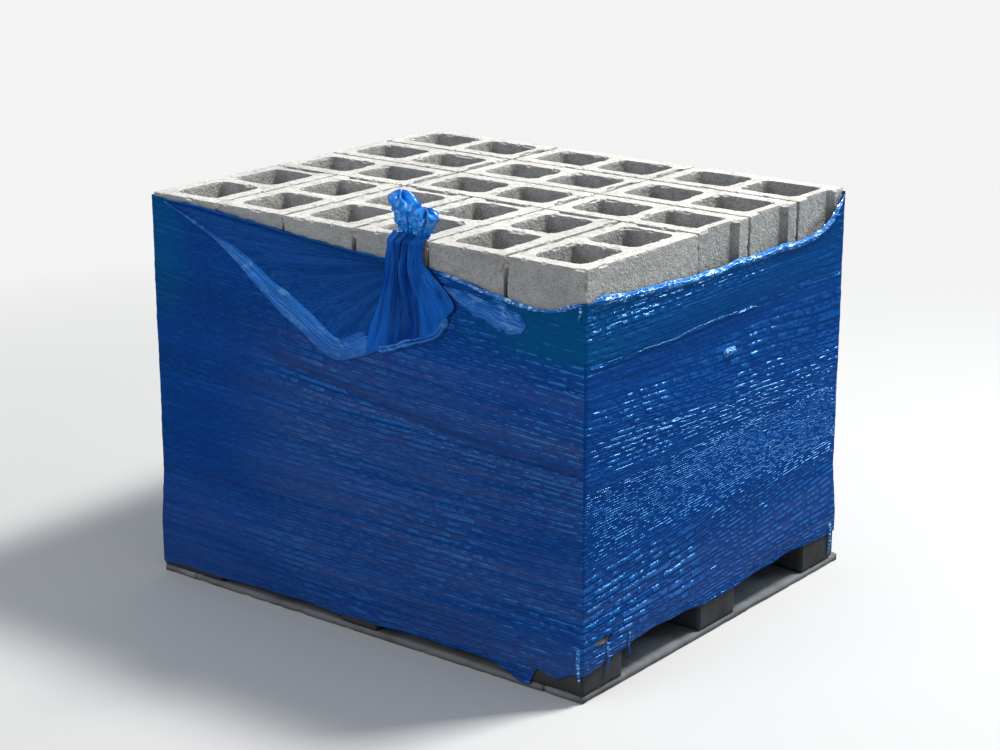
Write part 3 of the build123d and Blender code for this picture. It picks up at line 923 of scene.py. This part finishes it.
def band(wrap, name, material, side, points, *, width, height, seed, rolls=1, base=0.002, tip=0.0, taper=0.0,
         rough=0.22, crest=0.7):
    """A rolled, creased or torn strip of film along points (share, depth).

    It has rolls ridges side by side, round ones where crest is below 1, and thin creases in a flat strip
    where it is above. Its ends are tip times as wide as its middle, and it narrows by taper on its way.
    """
    vertices, uvs, cover_and_painted_highlight = [], [], []
    run = wrap.run(side)
    flat = [(share * run, depth) for share, depth in points]
    length = sum(math.dist(a, b) for a, b in zip(flat, flat[1:]))
    creased = crest > 1
    count, rows = max(8, int(length / BAND_STEP)), 5 + (12 if creased else 6) * rolls
    route = smooth_route(flat, count)
    for i, (x, depth) in enumerate(route):
        before, after = route[max(0, i - 1)], route[min(count - 1, i + 1)]
        ahead = Vector((after[0] - before[0], after[1] - before[1])).normalized()
        here = i / (count - 1)
        ends = smooth(here / 0.06) * smooth((1 - here) / 0.06)
        uneven = 0.35 * grain(i * 0.045, seed, 0.0) + 0.25 * grain(i * 0.21, seed, 3.0)
        wide = width * (0.9 + uneven)
        wide *= (tip + (1 - tip) * ends) * (1 - taper * here)
        shift = 0.25 * width * grain(i * 0.06, seed, 7.0)
        for j in range(rows):
            v = j / (rows - 1)
            across = shift + (v - 0.5) * wide
            share = clamped((x - ahead.y * across) / run)
            z = wrap.top - depth - ahead.x * across
            place, outward = wrap.point(side, share, z)
            roll = abs(math.sin(math.pi * rolls * v)) ** crest
            crease = grain(i * 0.16, v * 3.0, seed) + 0.5 * grain(i * 0.5, v * 6.0, seed)
            lies = base * (1 - 0.6 * past(v, 0.7, 0.3)) if creased else base
            vertices.append(place + outward * (lies + height * roll * ends + rough * height * crease))
            uvs.append(wrap_uv(wrap, side, share, z))
            # Painted highlights on the ridges of creased bands; rolled bands are paler at their thin edges.
            pale = roll if creased else abs(2 * v - 1) ** 3
            cover_and_painted_highlight.append(max(0.0, 1 - 0.9 * pale - 0.3 * abs(crease)))
    return film_piece(name, material, vertices, grid_faces(count, rows), uvs, cover_and_painted_highlight)


def rim_route(wrap, side, start, end):
    """Just under the film's top edge, from one share of a side to another."""
    shares = [start + (end - start) * k / 16 for k in range(17)]
    return [(share, along(wrap.sides[side].edge, share) + RIM_DEPTH) for share in shares]


def creased_strip(wrap, name, material, outer, inner, *, base, rise, seed):
    """A doubled part of the film between two routes on the -Y side. Thin creases run along it."""
    vertices, uvs, cover_and_painted_highlight = [], [], []
    columns, rows = 140, 56
    for i, (first, second) in enumerate(zip(smooth_route(outer, columns), smooth_route(inner, columns))):
        u = i / (columns - 1)
        ends = smooth(u / 0.05) * smooth((1 - u) / 0.08)
        tucked = 1 - past(u, 0.84, 0.12)
        for j in range(rows):
            v = j / (rows - 1)
            share, depth = (a + (b - a) * v for a, b in zip(first, second))
            depth += 0.005 * ends * grain(u * 9.0, v * 1.5, seed + 9)
            place, outward = wrap.point(FRONT, share, wrap.top - depth)
            bent = v + 0.10 * grain(u * 3.0, v * 2.0, seed)
            crease = 1 - 2 * abs(grain(bent * 6.0, u * 1.8, seed + 3))
            fine = grain(bent * 22.0, u * 6.0, seed + 6)
            middle = 4 * v * (1 - v)
            lift = base + middle**0.8 * (rise * tucked + ends * 0.0018 * crease) + ends * 0.0006 * fine
            vertices.append(place + outward * lift)
            uvs.append(wrap_uv(wrap, FRONT, share, wrap.top - depth))
            # Painted highlights along the creases, on a strip that is paler towards its outer edge.
            pale = (0.46 + 0.30 * crease + 0.26 * fine) * (0.4 + 0.6 * ends) * (1 - past(v, 0.45, 0.55))
            cover_and_painted_highlight.append(clamped(1 - pale))
    faces = grid_faces(columns, rows)
    return film_piece(name, material, vertices, faces, uvs, cover_and_painted_highlight, rippled=[0.05] * len(cover_and_painted_highlight))


def film_kinds():
    """The film's materials: its skin, and its loose, gathered, doubled, crumpled and rolled parts."""
    return {
        "skin": film("film", (0.0035, 0.042, 0.212, 1), (0.002, 0.094, 0.258, 1), clear=0.2),
        "loose": film("loose_film", (0.003, 0.036, 0.200, 1), (0.010, 0.085, 0.350, 1), ripple=0.35),
        "gathered": film(
            "gathered_film", (0.001, 0.020, 0.165, 1), (0.010, 0.130, 0.600, 1),
            ripple=0.25, clear=0.05, roughness=0.12, painted_glints=0.03, glint_spacing=(14.0, 120.0, 1.0),
        ),
        "doubled": film(
            "doubled_film", (0.008, 0.072, 0.340, 1), (0.050, 0.220, 0.660, 1),
            ripple=0.4, roughness=0.14, painted_glints=0.12, glint_spacing=(40.0, 60.0, 1.0),
        ),
        "crumpled": film(
            "crumpled_film", (0.003, 0.120, 0.640, 1), (0.030, 0.460, 1.000, 1),
            ripple=0.12, roughness=0.10, gloss=WHITE_GLOSS, painted_glints=0.22, glint_spacing=(30.0, 90.0, 1.0),
        ),
        "rolled": film(
            "rolled_film", (0.006, 0.090, 0.440, 1), (0.050, 0.300, 0.780, 1),
            ripple=0.7, roughness=0.08, gloss=WHITE_GLOSS, painted_glints=1.0, glint_spacing=(85.0, 190.0, 1.0),
        ),
    }


def film_tail(wrap, kinds):
    """The loose layer: its fold, its fan, the two tufts of its tail, and its doubled borders."""
    left = -wrap.stack.x + TAIL_SHARE * wrap.length
    tail = Vector((left, -wrap.stack.y + TAIL_INSET, wrap.top - TAIL_DEPTH))
    high_foot, low_foot = tail + Vector(TUFT_OFF_TAIL), tail + Vector(LOW_TUFT_OFF_TAIL)
    bright, doubled = kinds["crumpled"], kinds["doubled"]
    return [
        loose_fold(wrap, kinds["loose"]),
        tail_fan(wrap, kinds["gathered"]),
        tuft("film_tuft", bright, high_foot, width=0.052, height=0.098, lean=(-0.024, 0.006), seed=1.3),
        tuft("film_tuft_low", bright, low_foot, width=0.046, height=0.070, lean=(0.012, 0.004), seed=5.1),
        creased_strip(
            wrap, "film_fold_border", doubled, WEDGE_OUTER, WEDGE_INNER, base=0.0050, rise=0.0050, seed=3.0
        ),
        band(
            wrap, "film_fan_border", doubled, FRONT, FAN_BORDER, width=0.024, height=0.0020, seed=8.0,
            rolls=2, base=0.0088, tip=0.3, taper=0.3, rough=0.5, crest=4.0,
        ),
        creased_strip(
            wrap, "film_side_strip", doubled, STRIP_OUTER, STRIP_INNER, base=0.0024, rise=0.0024, seed=6.0
        ),
    ]


def film_trim(wrap, kinds):
    """The skin's pucker, its rims, the overlap of two turns, and the tatters at its edges."""
    rolled, loose = kinds["rolled"], kinds["loose"]
    end_rim = rim_route(wrap, END, 0.0, 1.0)
    side_rim = rim_route(wrap, FRONT, 0.69, 1.0)
    far_rim = rim_route(wrap, FRONT, 0.02, 0.58)
    pieces = [
        band(wrap, "film_pucker", rolled, END, PUCKER, width=0.018, height=0.0055, seed=7.0, tip=0.2),
        band(wrap, "film_end_rim", rolled, END, end_rim, width=0.018, height=0.0058, seed=1.0),
        band(wrap, "film_side_rim", rolled, FRONT, side_rim, width=0.010, height=0.0045, seed=2.0),
        band(wrap, "film_far_rim", loose, FRONT, far_rim, width=0.007, height=0.0030, seed=9.0),
        band(wrap, "film_overlap", kinds["skin"], END, OVERLAP, width=0.010, height=0.0012, seed=4.0),
    ]
    for number, (side, width, route) in enumerate(TATTERS, 1):
        name, seed = f"film_tatter_{number}", 11.0 + number
        pieces.append(
            band(wrap, name, rolled, side, route, width=width, height=0.003, seed=seed, tip=0.5, taper=0.65)
        )
    return pieces


def dress_film(wrap):
    """The film's skin, its loose layer and its trim."""
    kinds = film_kinds()
    skin = film_skin(wrap, kinds["skin"])
    for piece in [skin, *film_tail(wrap, kinds), *film_trim(wrap, kinds)]:
        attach(piece, "root")
    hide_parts("stretch_film")


# Camera, light and floor


def look_at(piece, target):
    """Turns a camera or a lamp towards a place."""
    piece.rotation_euler = (Vector(target) - piece.location).to_track_quat("-Z", "Y").to_euler()


def set_camera():
    """The camera that took the photograph."""
    data = bpy.data.cameras.new("camera")
    data.lens = FOCAL_LENGTH
    data.sensor_width = SENSOR_WIDTH
    camera = placed("camera", data)
    camera.location = CAMERA_PLACE
    look_at(camera, CAMERA_AIM)
    bpy.context.scene.camera = camera


def lamp(name, place, width, tall, power, color):
    """An area lamp that shines on the stack."""
    data = bpy.data.lights.new(name, "AREA")
    data.shape = "RECTANGLE"
    data.size = width
    data.size_y = tall
    data.energy = power
    data.color = color
    light = placed(name, data)
    light.location = place
    look_at(light, LAMP_AIM)


def set_light():
    """A high key light, a low one that glances off the +X side, a soft fill at the front, and the sky."""
    lamp("key", (1.9, 2.2, 5.7), 1.2, 1.2, 600, (1.0, 0.97, 0.92))
    lamp("glance", (3.0, 3.9, 1.8), 2.2, 0.28, 88, (0.62, 0.88, 1.0))
    lamp("fill", (-1.5, -5.5, 3.2), 3.5, 3.5, 130, (0.92, 0.96, 1.0))
    world = bpy.data.worlds.new("sky")
    bpy.context.scene.world = world
    world.use_nodes = True
    tree = world.node_tree
    sky = tree.nodes["Background"]
    sky.inputs["Strength"].default_value = SKY_STRENGTH
    backdrop = add(tree, "ShaderNodeBackground", {"Color": BACKDROP}).outputs[0]
    ray = add(tree, "ShaderNodeLightPath").outputs
    color = mixed(tree, ray["Is Glossy Ray"], SKY, REFLECTED_SKY)
    tree.links.new(color, sky.inputs["Color"])
    blend = add(tree, "ShaderNodeMixShader", {0: ray["Is Camera Ray"], 1: sky.outputs[0], 2: backdrop})
    tree.links.new(blend.outputs[0], tree.nodes["World Output"].inputs["Surface"])


def lay_floor():
    """A pale floor that fades into the backdrop, and is a darker yard to all but the camera."""
    bpy.ops.mesh.primitive_plane_add(size=FLOOR_SIZE, location=(0, 0, 0))
    floor = bpy.context.object
    floor.name = "floor"
    material, tree = new_material("floor")
    surface = tree.nodes["Principled BSDF"]
    ray = add(tree, "ShaderNodeLightPath").outputs
    hidden = mixed(tree, ray["Is Glossy Ray"], LIGHTING_FLOOR, REFLECTED_FLOOR)
    color = mixed(tree, ray["Is Camera Ray"], hidden, FLOOR)
    tree.links.new(color, surface.inputs["Base Color"])
    surface.inputs["Roughness"].default_value = 0.95
    surface.inputs["Specular IOR Level"].default_value = 0.0
    place = add(tree, "ShaderNodeTexCoord").outputs["Object"]
    reach = add(tree, "ShaderNodeVectorMath", {0: place}, operation="LENGTH").outputs["Value"]
    far = product(tree, ramp(tree, reach, FADE_START, FADE_END), ray["Is Camera Ray"])
    glow = add(tree, "ShaderNodeEmission", {"Color": BACKDROP}).outputs[0]
    blend = add(tree, "ShaderNodeMixShader", {0: far, 1: surface.outputs[0], 2: glow})
    tree.links.new(blend.outputs[0], tree.nodes["Material Output"].inputs["Surface"])
    floor.data.materials.append(material)


def main():
    """Loads the parts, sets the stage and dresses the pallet."""
    bpy.context.scene.view_settings.view_transform = "Standard"
    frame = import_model()
    set_camera()
    set_light()
    lay_floor()
    wrap = Wrap()
    dress_blocks(frame["nodes"])
    dress_timber(frame["nodes"])
    dress_film(wrap)


main()
